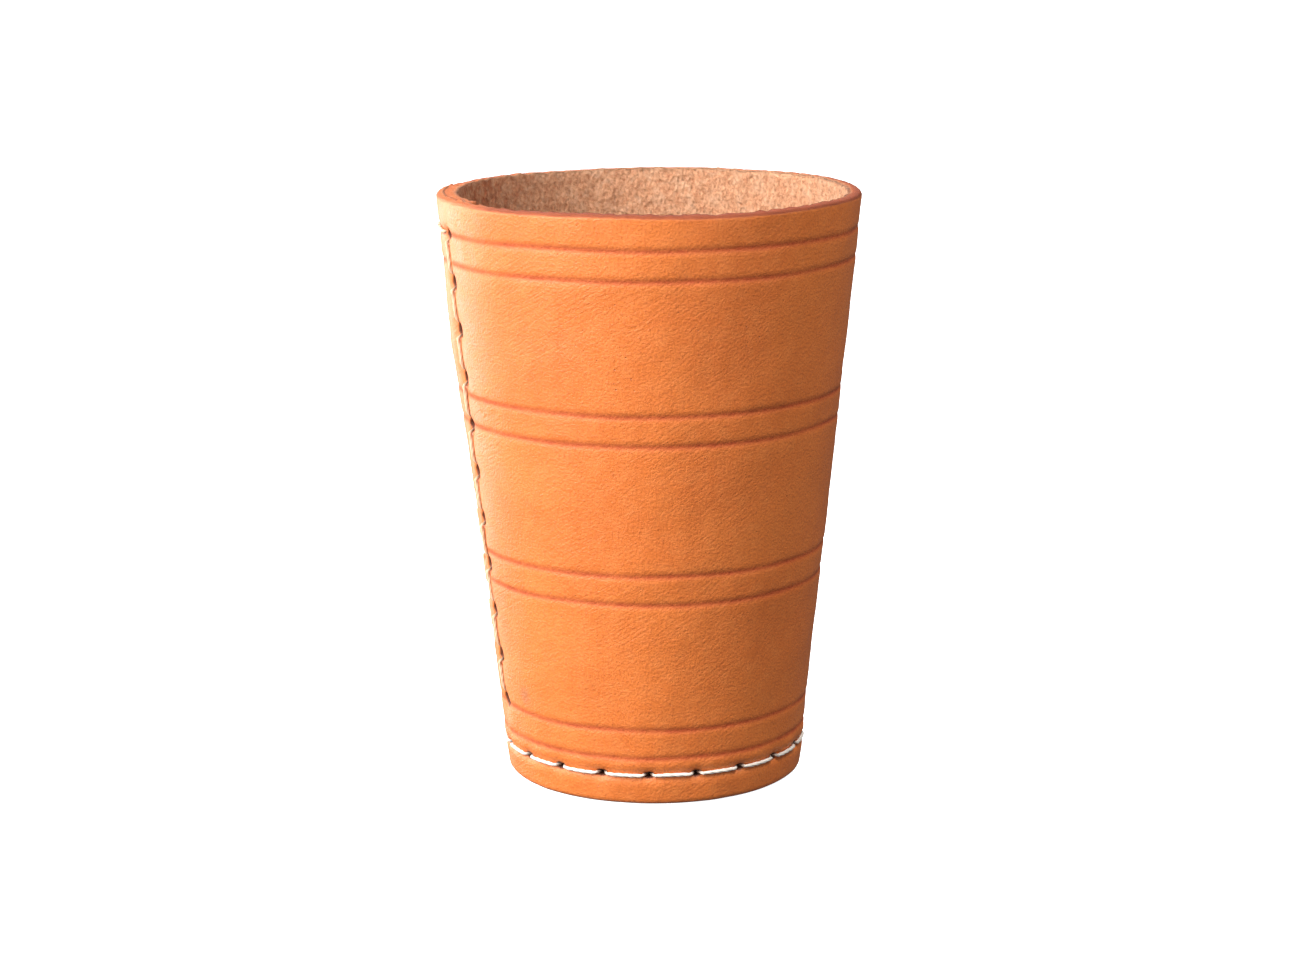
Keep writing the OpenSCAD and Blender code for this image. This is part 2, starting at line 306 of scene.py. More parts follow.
def wall_grain_r(u, z):
    """Radius of the grain side."""
    r = cone_r(z)
    tucked = np.where(u > ROLL_A + 360, dip(np.maximum(u - 360, ROLL_A), r), 0)
    x, y = flat_pattern(u, z)
    uneven = 0.05 * ripple(x, y, 7, 9, 22) + 0.022 * ripple(x, y, 8, 3, 7, 24)
    pressed = crease_depth(u, z) + HOLE_DENT * near_holes(u, z, VISIBLE_HOLES, 0.75)
    pressed = pressed + base_seam_depth(u, z) + side_seam_depth(u, z)
    seen = 1 - smooth_step(u, COVERED_A + 2, COVERED_A + 8)
    return r - tucked + (lap_rise(u, z) + uneven - pressed) * seen


def wall_flesh_r(u, z):
    """Radius of the flesh side, which the tucked end thins under the covering end."""
    r = cone_r(z)
    plain = r - WALL_RUN
    covering = r - dip(np.clip(u, COVER_A - 1, TUCK_A), r) + PLY_GAP
    tucked = np.maximum(plain - dip(np.clip(u - 360, ROLL_A, TUCK_A), r), r - LAP_RUN)
    smooth = np.where(u <= TUCK_A, covering, np.where(u < ROLL_A + 360, plain, tucked))
    x, y = flat_pattern(u, z)
    rough = 0.07 * ripple(x, y, 9, 2.5, 6, 30)
    dents = 0.2 * near_holes(u, z, INSIDE_HOLES, 0.6)
    seen = smooth_step(u, TUCK_A + 1, TUCK_A + 3)
    return smooth + seen * (rough + dents)


def polar(angle, r, z):
    return np.stack([r * np.cos(np.radians(angle)), r * np.sin(np.radians(angle)), z], axis=-1)


def wall_points(u, z, w):
    """Where the wall's points lie, with fibres standing up at the rim's flesh side."""
    grain, flesh = wall_grain_r(u, z), wall_flesh_r(u, z)
    x, y = flat_pattern(u, z)
    fibrous = 0.16 * ripple(x, y, 13, 1.6, 4, 24) * w * smooth_step(z, CUP_H - 1.5, CUP_H)
    return polar(u, grain + (flesh - grain) * w, z + fibrous)


# ---- A closed mesh from a sheet with two skins and stitch holes ----


def even_rows(low, high, fixed, widest):
    """The fixed places, with more between them so that no step is wider than widest."""
    places = sorted([low, high] + [p for p in fixed if low < p < high])
    rows = [low]
    for start, stop in zip(places, places[1:]):
        steps = max(1, math.ceil((stop - start) / widest - 1e-6))
        rows += [start + (stop - start) * (i + 1) / steps for i in range(steps)]
    return np.array(rows)


# The rows of points on a cut edge, and how far the middle one stands out
EDGE_ROWS = 9
EDGE_PROUD = 0.04


def cut_edge(thick, outer_r, inner_r):
    """The rounded cut edge of a sheet: (distance in from the edge, depth from the grain side)."""
    turns = np.radians([15, 40, 65, 90])
    grain = [(outer_r * (1 - math.sin(t)), outer_r * (1 - math.cos(t)) / thick) for t in turns]
    flesh = [
        (inner_r * (1 - math.sin(t)), 1 - inner_r * (1 - math.cos(t)) / thick) for t in turns[::-1]
    ]
    middle = (grain[-1][1] + flesh[0][1]) / 2
    return grain + [(-EDGE_PROUD * np.ones_like(thick), middle)] + flesh


def block_outline(low_row, high_row, columns):
    """The grid places round a block of cells, in order."""
    return (
        [(low_row, c) for c in columns[:-1]]
        + [(r, columns[-1]) for r in range(low_row, high_row)]
        + [(high_row, c) for c in columns[:0:-1]]
        + [(r, columns[0]) for r in range(high_row, low_row, -1)]
    )


class Sheet:
    """Collects the points (u, v, w) and faces of a sheet, and cuts its stitch holes."""

    def __init__(self):
        self.points = []
        self.faces = []

    def add_points(self, u, v, w):
        first = len(self.points)
        u, v, w = np.broadcast_arrays(u, v, w)
        self.points += list(zip(u.ravel(), v.ravel(), w.ravel()))
        return np.arange(first, len(self.points)).reshape(u.shape)

    def band(self, low, high, closed):
        """Faces between two rows of points."""
        count = len(low)
        for i in range(count if closed else count - 1):
            after = (i + 1) % count
            self.faces.append((low[i], low[after], high[after], high[i]))

    def skin(self, grid, holes, closed):
        """Faces of one skin, without the blocks of cells that its holes take."""
        rows, columns = grid.shape
        kept = np.ones((rows - 1, columns if closed else columns - 1), bool)
        for low_row, high_row, block in holes:
            kept[low_row:high_row, block[:-1] % kept.shape[1]] = False
        for j, i in zip(*np.nonzero(kept)):
            after = (i + 1) % columns
            self.faces.append((grid[j, i], grid[j, after], grid[j + 1, after], grid[j + 1, i]))

    def hole(self, hole, block, grain, flesh, shares, slope):
        """Rings round a hole on both skins, and the tube between them.

        shares places each skin's rings, from 1 at the block's outline to 0 at the hole's lip.
        slope is how much further up the hole lies on the flesh side.
        """
        path = block_outline(*block)
        wrap = grain.shape[1]
        hole_u, hole_v, long_u, long_v = hole
        per_degree = math.pi / 180 * cone_r(hole_v)
        edge = np.array([self.points[grain[r, c % wrap]][:2] for r, c in path])
        away_u = (edge[:, 0] - hole_u + 180) % 360 - 180
        away_v = edge[:, 1] - hole_v
        turn = np.arctan2(away_v / long_v, away_u * per_degree / long_u)
        ragged = 1 + 0.07 * np.sin(3 * turn + hole_u) + 0.05 * np.sin(5 * turn + 2 * hole_v)
        lip_u = long_u / 2 * np.cos(turn) * ragged / per_degree
        lip_v = long_v / 2 * np.sin(turn) * ragged

        def ring(share, w, size=1.0):
            u = hole_u + lip_u * size * (1 - share) + away_u * share
            v = hole_v + lip_v * size * (1 - share) + away_v * share + slope * w * (1 - share)
            return self.add_points(u, v, w + 0 * u)

        lips = []
        for side, grid in enumerate((grain, flesh)):
            rings = [np.array([grid[r, c % wrap] for r, c in path])]
            rings += [ring(share, float(side)) for share in shares[side]]
            for outer, inner in zip(rings, rings[1:]):
                self.band(outer, inner, True)
            lips.append(rings[-1])
        # The tube is narrower inside the leather than at its lips.
        tube = [lips[0], ring(0, 0.1, 0.9), ring(0, 0.5, 0.86), ring(0, 0.9, 0.9), lips[1]]
        for outer, inner in zip(tube, tube[1:]):
            self.band(outer, inner, True)


def hole_block(hole, u, v, reach_u, reach_v):
    """The rows and columns of grid points that bound the cells a hole takes."""
    low_row = np.nonzero(v <= hole[1] - reach_v)[0][-1]
    high_row = np.nonzero(v >= hole[1] + reach_v)[0][0]
    step = u[1] - u[0]
    low = math.floor((hole[0] - reach_u - u[0]) / step + 0.5)
    high = math.floor((hole[0] + reach_u - u[0]) / step + 0.5)
    return low_row, high_row, np.arange(low, high + 1)


def finish_mesh(name, points, faces, attributes):
    """A smooth closed mesh piece, its points given in millimetres."""
    mesh = bpy.data.meshes.new(name)
    corners = [tuple(map(int, face)) for face in faces]
    mesh.from_pydata((hand_made(points) * MM).tolist(), [], corners)
    for key, values in attributes.items():
        kind, field = ("FLOAT_VECTOR", "vector") if values.ndim == 2 else ("FLOAT", "value")
        attribute = mesh.attributes.new(key, kind, "POINT")
        attribute.data.foreach_set(field, values.astype(np.float32).ravel())
    made = bmesh.new()
    made.from_mesh(mesh)
    # The cells that a hole takes leave points that no face uses.
    loose = [point for point in made.verts if not point.link_faces]
    bmesh.ops.delete(made, geom=loose, context="VERTS")
    bmesh.ops.recalc_face_normals(made, faces=made.faces)
    made.to_mesh(mesh)
    made.free()
    mesh.shade_smooth()
    piece = bpy.data.objects.new(name, mesh)
    bpy.context.scene.collection.objects.link(piece)
    return piece


# ---- The wall ----

WALL_COLUMNS = 325


def wall_columns():
    """The angles of the wall's columns, and how far each one's skins are pinched together."""
    around = np.linspace(COVER_A, SHEET_END, WALL_COLUMNS)
    # Two more columns at each end round the sheet's skived ends.
    columns = np.concatenate([[COVER_A - 0.5, COVER_A - 0.3], around, around[-1] + [0.3, 0.5]])
    pinch = np.zeros(len(columns))
    pinch[[0, 1, -2, -1]] = (0.32, 0.1, 0.1, 0.32)
    return around, columns, pinch


def wall_heights():
    """The heights of the wall's rows, closest at its creased lines and its seam."""
    crease_steps = (-1.4, -0.95, -0.6, -0.3, 0, 0.3, 0.6, 0.95, 1.4)
    seam_steps = (-2.2, -1.5, -0.9, -0.4, 0, 0.4, 0.9)
    marks = [z + off for z in CREASES for off in crease_steps]
    marks += [BASE_SEAM_Z + off for off in seam_steps]
    return even_rows(1.0, CUP_H - 0.8, marks, 2.1)


def wall_loop(columns, up):
    """Rows of v and w: up the grain side, over the rim, down the flesh side, under the foot."""
    middle_z = CUP_H / 2
    thick = wall_grain_r(columns, middle_z) - wall_flesh_r(columns, middle_z)
    # Where two plies lie together their facing edges are left square, so that no groove shows.
    square = 0.06
    grain_round = square + (np.minimum(0.65, thick / 2.4) - square) * (columns < COVERED_A - 4)
    flesh_round = square + (np.minimum(0.35, thick / 4) - square) * (columns > TUCK_A)
    edge = cut_edge(thick, grain_round, flesh_round)
    loop = [(z + 0 * columns, 0 * columns) for z in up]
    loop += [(CUP_H - drop, depth) for drop, depth in edge]
    loop += [(z + 0 * columns, 1 + 0 * columns) for z in up[::-1]]
    loop += [(EDGE_PROUD + drop, depth) for drop, depth in edge[::-1]]
    return tuple(np.array(rows) for rows in zip(*loop))


def wall_hole_block(hole, around, up):
    """The cells that a hole of the wall takes."""
    reach_u = 5.5 if hole[1] < SIDE_FIRST_Z else 4.0
    low_row, high_row, block = hole_block(hole, around, up, reach_u, 1.9)
    # Two columns come before the first of around.
    return low_row, high_row, block + 2


def wall_sheet():
    """The wall's skins, rim, foot and ends, with its stitch holes cut."""
    around, columns, pinch = wall_columns()
    up = wall_heights()
    v, w = wall_loop(columns, up)
    w = pinch + w * (1 - 2 * pinch)
    ragged = 0.35 * ripple(up, 0 * up, 11, 5, 16) + 0.1 * ripple(up, 0 * up, 12, 1.5, 4)
    u = columns + 0 * v
    for end, side in ((COVER_A, 1), (SHEET_END, -1)):
        u = u + side * np.interp(v, up, ragged) * hill(u - end, 3.0)

    sheet = Sheet()
    grid = sheet.add_points(u, v, w)
    rows = len(up)
    grain, rim = grid[:rows], grid[rows : rows + EDGE_ROWS]
    flesh = grid[rows + EDGE_ROWS : 2 * rows + EDGE_ROWS][::-1]
    foot = grid[2 * rows + EDGE_ROWS :]
    blocks = [wall_hole_block(hole, around, up) for hole in WALL_HOLES]
    sheet.skin(grain, blocks, False)
    sheet.skin(flesh, blocks, False)
    over_rim = np.vstack([grain[-1:], rim, flesh[-1:]])
    under_foot = np.vstack([flesh[:1], foot, grain[:1]])
    for strip in (over_rim, under_foot):
        for low, high in zip(strip, strip[1:]):
            sheet.band(low, high, False)
    for end in (0, -1):
        close_end(sheet, grain[:, end], flesh[:, end], over_rim[:, end], under_foot[:, end])
    slope = WALL_T * math.tan(TAPER)
    for hole, block in zip(WALL_HOLES, blocks):
        grain_shares = [0.6, 0.32, 0.14, 0] if hole[0] < COVERED_A else [0]
        flesh_shares = [0.5, 0.2, 0] if hole[0] > TUCK_A else [0]
        sheet.hole(hole, block, grain, flesh, (grain_shares, flesh_shares), slope)
    return sheet


def close_end(sheet, grain, flesh, over_rim, under_foot):
    """Faces across a cut end of the sheet, from the foot to the rim."""
    middle = len(over_rim) // 2
    foot, rim = under_foot[middle], over_rim[middle]
    left = [foot, *under_foot[middle + 1 : -1], *grain, *over_rim[1:middle], rim]
    # The flesh side's lowest point comes twice, so that both lists are equally long.
    right = [foot, *under_foot[:middle][::-1], *flesh, *over_rim[middle + 1 : -1][::-1]]
    for i in range(len(left) - 1):
        corners = [left[i], left[i + 1], right[i + 1], right[i]]
        sheet.faces.append(tuple(dict.fromkeys(corners)))


def wall_attributes(u, v, w):
    """What the leather's material reads at each point of the wall."""
    angle = u % 360
    x, y = flat_pattern(u, v)
    at_back = 0.5 + 0.5 * np.cos(np.radians(u - 90))
    worn = smooth_step(w, 0.35, 0.8) * (0.05 + 0.85 * at_back)
    lapped = smooth_step(angle, 150, 170) * (1 - smooth_step(angle, 205, 235))
    rim = smooth_step(v, CUP_H - 0.8, CUP_H - 0.15) * (1 - worn) * (1 - 0.5 * lapped)
    end = hill(u - COVER_A, 1.0)
    # hole spreads over each hole's lip and inside, which the material paints dark: partly the cut
    # leather's own tone, partly painted shade in the hole.
    near = near_holes(u, v, WALL_HOLES, 0.4)
    inside_cut = np.sqrt(np.clip(4 * w * (1 - w), 0, 1)) * (near > 0.2)
    seam = base_seam_depth(u, v) + side_seam_depth(u, v)
    from_smudge = np.hypot(np.radians(u - SMUDGE_A) * FOOT_R, v - SMUDGE_Z)
    return {
        "sheet": np.stack([x, y, 40 * w], axis=1),
        # press and seam also tell the material where to paint the burnished tone and the shade of the
        # creases and seam channels.
        "press": np.clip(crease_depth(u, v) / CREASE_DEPTH, 0, 1) * (1 - w),
        "seam": np.clip(seam / 0.35, 0, 1) * (1 - w),
        "rim": np.maximum(rim, 0.8 * end),
        "foot": 1 - smooth_step(v, 0.1, 0.8),
        "hole": np.maximum(near, inside_cut),
        "flesh": smooth_step(w, 0.6, 0.95),
        # coarse marks the inside towards the lap: coarser suede, with painted shade.
        "coarse_and_shaded": smooth_step(angle, 105, 165) * (1 - smooth_step(angle, 215, 260)),
        "smudge": hill(from_smudge, SMUDGE_R) * (1 - w),
    }


def make_wall():
    sheet = wall_sheet()
    u, v, w = np.array(sheet.points).T
    points = wall_points(u, v, w)
    return finish_mesh("leather_wall", points, sheet.faces, wall_attributes(u, v, w))


# ---- The base: v is measured over its floor, round its bend and down its flange ----

SIDE_Z = FLOOR_Z - BEND_R
SIDE_R = cone_r(SIDE_Z) - WALL_RUN - BASE_GAP - BEND_R
FLANGE_V = SIDE_R + BEND_R * math.pi / 2
EDGE_V = FLANGE_V + (SIDE_Z - FLANGE_Z) / math.cos(TAPER)
HOLE_V = FLANGE_V + (SIDE_Z - BASE_SEAM_Z - 0.25) / math.cos(TAPER)
BASE_COLUMNS = 240


def lap_step(angle):
    """How far the lap stands inside the plain wall, eased off past its end."""
    angle = angle % 360
    floor_r = 27.0
    deep = np.minimum(dip(np.clip(angle, ROLL_A, TUCK_A + 6), floor_r), LAP_RUN - WALL_RUN)
    return deep * (angle > ROLL_A) * (1 - smooth_step(angle, TUCK_A + 1, TUCK_A + 6))


def base_profile(v, inset):
    """Radius and height of one of the base's skins, inset from its upper one."""
    bend_r = BEND_R - inset
    turn = np.clip((v - SIDE_R) / BEND_R, 0, math.pi / 2)
    flat = np.minimum(v, SIDE_R)
    down = np.maximum(v - SIDE_R - BEND_R * math.pi / 2, 0)
    r = flat + bend_r * np.sin(turn) - down * math.sin(TAPER)
    z = SIDE_Z + bend_r * np.cos(turn) - down * math.cos(TAPER)
    return r, z


def base_points(u, v, w):
    """Where the base's points lie: its floor sags, and the seam pulls its flange in."""
    top_r, top_z = base_profile(v, 0)
    low_r, low_z = base_profile(v, BASE_T)
    r = top_r + (low_r - top_r) * w
    z = top_z + (low_z - top_z) * w
    side = smooth_step(v, 15, 19.5)
    r = r - lap_step(u) * side
    x, y = r * np.cos(np.radians(u)), r * np.sin(np.radians(u))
    flat = 1 - smooth_step(v, 15, 18)
    uneven = 0.08 * ripple(x, y, 31, 8, 20) + 0.03 * ripple(x, y, 32, 3, 6, 20)
    sag = 0.35 * (1 - (np.minimum(v, 19) / 19) ** 2)
    z = z + flat * uneven - sag * flat
    inner_half = np.clip(2 * w - 1, 0, 1)
    dent = HOLE_DENT * near_holes(u, z, FLANGE_HOLES, 0.6) * inner_half
    dent = dent + 0.12 * hill(z - BASE_SEAM_Z - 0.3, 0.8) * inner_half * side
    return polar(u, r + dent, z)


def base_sheet():
    """The base's skins and its cut edge, with its stitch holes cut."""
    around = BASE_FIRST_A + np.arange(BASE_COLUMNS) * 360 / BASE_COLUMNS
    bends = list(np.linspace(SIDE_R, FLANGE_V, 7))
    across = even_rows(1.2, EDGE_V - 0.6, bends + [4, 8, 12, 15], 1.8)
    across = np.array(sorted(set(across) | set(np.arange(FLANGE_V, EDGE_V - 0.6, 0.55))))
    edge = cut_edge(BASE_T + 0 * around, 0.4, 0.4)
    loop = [(v + 0 * around, 0 * around) for v in across]
    loop += [(EDGE_V - drop + 0 * around, depth) for drop, depth in edge]
    loop += [(v + 0 * around, 1 + 0 * around) for v in across[::-1]]
    v, w = (np.array(rows) for rows in zip(*loop))

    sheet = Sheet()
    grid = sheet.add_points(around + 0 * v, v, w)
    rows = len(across)
    grain, flesh = grid[:rows], grid[::-1][:rows]
    holes = [(hole[0], HOLE_V) + hole[2:] for hole in BASE_HOLES]
    blocks = [hole_block(hole, around, across, 6.0, 1.4) for hole in holes]
    sheet.skin(grain, blocks, True)
    sheet.skin(flesh, blocks, True)
    cut = grid[rows - 1 : rows + EDGE_ROWS + 1]
    for low, high in zip(cut, cut[1:]):
        sheet.band(low, high, True)
    for side, row in enumerate((grain[0], flesh[0])):
        middle = int(sheet.add_points([0.0], [0.0], [float(side)])[0])
        for i in range(len(row)):
            sheet.faces.append((row[i], row[(i + 1) % len(row)], middle))
    for hole, block in zip(holes, blocks):
        sheet.hole(hole, block, grain, flesh, ([0], [0.5, 0.2, 0]), 0.0)
    return sheet


def base_attributes(u, v, w, points):
    """What the leather's material reads at each point of the base."""
    x, y, z = points.T
    inside_cut = np.clip(4 * w * (1 - w), 0, 1) ** 0.5
    near = near_holes(u, z - 0.25, FLANGE_HOLES, 0.3) * (v > SIDE_R)
    return {
        "sheet": np.stack([x, y + z, 40 * w], axis=1),
        "press": hill(v - FLANGE_V + 1.6, 1.6) * (1 - w),
        "foot": smooth_step(v, EDGE_V - 1, EDGE_V),
        # The holes' lips and insides take the dark tone, partly painted shade.
        "hole": np.maximum(near, inside_cut * (v < EDGE_V - 1.5)),
        "flesh": smooth_step(w, 0.6, 0.95),
        **dict.fromkeys(("seam", "rim", "coarse_and_shaded", "smudge"), 0 * u),
    }


def make_base():
    sheet = base_sheet()
    u, v, w = np.array(sheet.points).T
    points = base_points(u, v, w)
    return finish_mesh("leather_base", points, sheet.faces, base_attributes(u, v, w, points))


# ---- The threads ----


def nominal_outer_r(a, z):
    """Radius of the grain side of the smooth CAD cup."""
    b, r = a % 360, cone_r(z)
    return r - dip(b, r) if ROLL_A < b < COVER_A else r


def nominal_inner_r(a, z):
    """Radius of the flesh side of the smooth CAD cup."""
    b, r = a % 360, cone_r(z) - WALL_RUN
    if b < ROLL_A or b > TUCK_A:
        return r
    return max(r - dip(b, r), 0 if b < COVER_A else cone_r(z) - LAP_RUN)


def unit(v):
    return v / np.linalg.norm(v)


class Seam:
    """The path of one thread of a seam, as rings of (x, y, z, thread radius).

    way is 1 for the outer thread and -1 for the inner one. under is what lies between the wall
    and the inner thread. leg and out are how far from a hole's middle the thread leaves the hole
    and lies down on the leather.
    """

    def __init__(self, holes, way, under, leg, out, thread_r, seed):
        self.holes = [np.array(hole, float) for hole in holes]
        self.way = way
        self.under = under
        self.leg = leg
        self.out = out
        self.thread_r = thread_r
        self.rng = np.random.default_rng(seed)
        self.rings = []

    def face_r(self, a, z):
        """Radius of the side of the leather that this thread lies on."""
        return nominal_outer_r(a, z) if self.way > 0 else nominal_inner_r(a, z) - self.under

    def lying_r(self, a, z, reach, heading):
        """face_r, held clear of a step in the leather up to reach degrees away."""
        near = reach * abs(heading[0])
        return self.way * max(self.way * self.face_r(b, z) for b in (a - near, a, a + near))

    def heading(self, start, stop):
        run = math.radians(stop[0] - start[0]) * cone_r((start[1] + stop[1]) / 2)
        return unit(np.array([run, stop[1] - start[1]]))

    def ring(self, a, z, r, thick):
        """A ring at radius r, square to the leather at height z."""
        lifted = z + (cone_r(z) - r) * math.tan(TAPER)
        self.rings.append((*polar(a, r, lifted), thick))

    def ring_near(self, hole, heading, along, across, r, thick):
        turn = math.degrees((along * heading[0] - across * heading[1]) / cone_r(hole[1]))
        z = hole[1] + along * heading[1] + across * heading[0]
        self.ring(hole[0] + turn, z, r, thick)

    def twist(self, hole, heading, turns):
        """Where the two threads turn round each other halfway through the leather."""
        outer, inner = nominal_outer_r(*hole), nominal_inner_r(*hole) - self.under
        twist_r, squeezed_r = 0.33, 0.25
        for turn in np.radians(turns):
            along = -0.45 * math.cos(turn)
            across = self.way * twist_r * math.cos(turn)
            r = (outer + inner) / 2 - self.way * twist_r * math.sin(turn)
            self.ring_near(hole, heading, along, across, r, squeezed_r)

    def bend(self, hole, heading, end):
        """Out of the hole and over its lip, or back in."""
        leg_r = self.face_r(*hole) - self.way * 0.8
        lying = self.lying_r(hole[0], hole[1], 6, heading)
        high = 0.03 if self.way > 0 else 0.33
        steps = [(end * self.leg, leg_r, 0.22), (end * self.out, lying + self.way * high, 0.26)]
        for along, r, thick in steps if end > 0 else steps[::-1]:
            self.ring_near(hole, heading, along, 0, r, thick)

    def lie(self, start, stop):
        """Along the leather from one hole to the next, never quite straight."""
        heading = self.heading(start, stop)
        height = (0.03 if self.way > 0 else 0.35) + self.rng.uniform(-0.03, 0.05)
        sway = self.rng.uniform(-0.09, 0.09)
        for part in (0.3, 0.5, 0.7):
            a, z = start + (stop - start) * part
            off = sway * math.sin(math.pi * part)
            r = self.lying_r(a, z, 3, heading) + self.way * height
            turn = math.degrees(-off * heading[1] / cone_r(z))
            self.ring(a + turn, z + off * heading[0], r, self.thread_r)

    def run(self):
        """The rings, from the first hole to the last."""
        last = len(self.holes) - 1
        legs = [self.heading(a, b) for a, b in zip(self.holes, self.holes[1:])]
        through = [unit(legs[max(i - 1, 0)] + legs[min(i, last - 1)]) for i in range(last + 1)]
        for i, (start, stop) in enumerate(zip(self.holes, self.holes[1:])):
            self.twist(start, through[i], (100 if i == 0 else 135, 180))
            self.bend(start, legs[i], 1)
            self.lie(start, stop)
            self.bend(stop, legs[i], -1)
            self.twist(stop, through[i + 1], (0, 45, 80 if i == last - 1 else 90))
        return np.array(self.rings)


def softened(rings, step, soft):
    """The rings again, a step apart, along a path without corners."""
    gaps = np.linalg.norm(np.diff(rings[:, :3], axis=0), axis=1)
    length = np.concatenate([[0], np.cumsum(gaps)])
    fine = 0.04
    places = np.arange(0, length[-1], fine)
    dense = np.stack([np.interp(places, length, column) for column in rings.T], axis=1)
    half = int(soft / fine / 2)
    window = np.hanning(2 * half + 3)[1:-1]
    padded = np.pad(dense, ((half, half), (0, 0)), mode="edge")
    smooth = np.stack(
        [np.convolve(column, window / window.sum(), mode="valid") for column in padded.T], axis=1
    )
    return smooth[:: int(step / fine)]


def three_ply(angle):
    """Outline of three plies laid together, 1 at the middle of each ply."""
    ply_middle, ply_r = 0.36, 0.64
    off = (angle + math.pi / 3) % (2 * math.pi / 3) - math.pi / 3
    return ply_middle * np.cos(off) + np.sqrt(ply_r**2 - (ply_middle * np.sin(off)) ** 2)


def cross_sides(middles):
    """Two directions square to the path at each of its points, without any twist."""
    ways = np.gradient(middles, axis=0)
    ways /= np.linalg.norm(ways, axis=1, keepdims=True)
    side = unit(np.cross(ways[0], [0.2, 0.3, 1]))
    sides = []
    for way in ways:
        side = unit(side - way * (side @ way))
        sides.append((side, np.cross(way, side)))
    return np.array(sides)


THREAD_CORNERS = 18
THREAD_STEP = 0.2
LAY_LENGTH = 4.2


def make_thread(name, seam):
    """A three-ply thread swept along its seam, its plies turning once every LAY_LENGTH."""
    rings = softened(seam.run(), THREAD_STEP, 0.5)
    middles, thick = rings[:, :3], rings[:, 3]
    sides = cross_sides(middles)
    around = np.linspace(0, 2 * math.pi, THREAD_CORNERS, endpoint=False)
    along = THREAD_STEP * np.arange(len(rings))
    ply_turn = around[None] - (2 * math.pi * along / LAY_LENGTH)[:, None]
    wobble = 1 + 0.03 * ripple(along, 0 * along, 51, 0.8, 3)
    size = (thick * wobble)[:, None]
    outline = three_ply(ply_turn) * size
    points = (
        middles[:, None]
        + (outline * np.cos(around))[..., None] * sides[:, 0][:, None]
        + (outline * np.sin(around))[..., None] * sides[:, 1][:, None]
    )
    grid = np.arange(outline.size).reshape(outline.shape)
    sheet = Sheet()
    for low, high in zip(grid, grid[1:]):
        sheet.band(low, high, True)
    sheet.faces += [tuple(grid[0][::-1]), tuple(grid[-1])]
    lengthwise = along[:, None] + 0 * outline
    lay = np.stack([lengthwise, 0.4 * np.cos(ply_turn), 0.4 * np.sin(ply_turn)], axis=-1)
    attributes = {
        "sheet": lay.reshape(-1, 3),
        # hole marks where the thread is squeezed into a hole, which the material paints darker, partly
        # as the hole's shade.
        "hole": np.repeat(1 - smooth_step(thick, 0.225, 0.265), THREAD_CORNERS),
        # The valleys between the plies, which the material paints as shade.
        "ply_groove_shade": (1 - (outline / size - 0.7) / 0.3).ravel(),
    }
    return finish_mesh(name, points.reshape(-1, 3), sheet.faces, attributes)


# ---- Materials ----


class Material:
    """Builds one node material. Most methods add a node and return its output."""

    def __init__(self, name):
        self.material = bpy.data.materials.new(name)
        self.material.use_nodes = True
        self.tree = self.material.node_tree
        self.shader = self.tree.nodes["Principled BSDF"]

    def node(self, kind, inputs, output=0, **settings):
        made = self.tree.nodes.new(kind)
        for key, value in settings.items():
            setattr(made, key, value)
        for key, value in inputs.items():
            self.put(made.inputs[key], value)
        return made.outputs[output]

    def put(self, socket, value):
        if isinstance(value, bpy.types.NodeSocket):
            self.tree.links.new(value, socket)
        else:
            socket.default_value = value

    def set(self, **values):
        """Sets or links inputs of the shader, named as on the node with _ for a space."""
        for key, value in values.items():
            self.put(self.shader.inputs[key.replace("_", " ")], value)

    def attribute(self, name, output="Fac"):
        return self.node("ShaderNodeAttribute", {}, output, attribute_name=name)

    def stretched(self, vector, scale, turn=0.0):
        rotated = self.node("ShaderNodeMapping", {0: vector, 2: (0, 0, math.radians(turn))})
        return self.node("ShaderNodeMapping", {0: rotated, 3: scale})

    def noise(self, vector, scale, detail=3.0, rough=0.55, bent=0.0):
        inputs = {"Vector": vector, "Scale": scale, "Detail": detail}
        inputs.update({"Roughness": rough, "Distortion": bent})
        return self.node("ShaderNodeTexNoise", inputs)

    def cells(self, vector, scale):
        return self.node("ShaderNodeTexVoronoi", {"Vector": vector, "Scale": scale}, "Distance")

    def lines(self, vector, width):
        """Thin wandering lines, 1 on each line."""
        level = self.noise(vector, 1.0, 2.0, 0.5, 0.3)
        off = self.math("ABSOLUTE", self.math("SUBTRACT", level, 0.5), 0.0)
        return self.ramp(off, 0.0, width, 1.0, 0.0)

    def ramp(self, value, low, high, start=0.0, stop=1.0):
        """value from low to high becomes start to stop, eased at both ends."""
        inputs = {0: value, 1: low, 2: high, 3: start, 4: stop}
        return self.node("ShaderNodeMapRange", inputs, interpolation_type="SMOOTHSTEP")

    def math(self, kind, a, b):
        return self.node("ShaderNodeMath", {0: a, 1: b}, operation=kind)

    def blend(self, share, a, b, kind="MIX"):
        inputs = {0: share, 6: a, 7: b}
        return self.node("ShaderNodeMix", inputs, 2, data_type="RGBA", blend_type=kind)

    def bump(self, height, depth_mm, normal=None):
        inputs = {"Height": height, "Distance": depth_mm * MM, "Strength": 1.0}
        if normal is not None:
            inputs["Normal"] = normal
        return self.node("ShaderNodeBump", inputs)


def colour(r, g, b):
    """A colour given as seen on a screen, from 0 to 255, as the shader takes it."""
    linear = [((c / 255 + 0.055) / 1.055) ** 2.4 for c in (r, g, b)]
    return (*linear, 1.0)


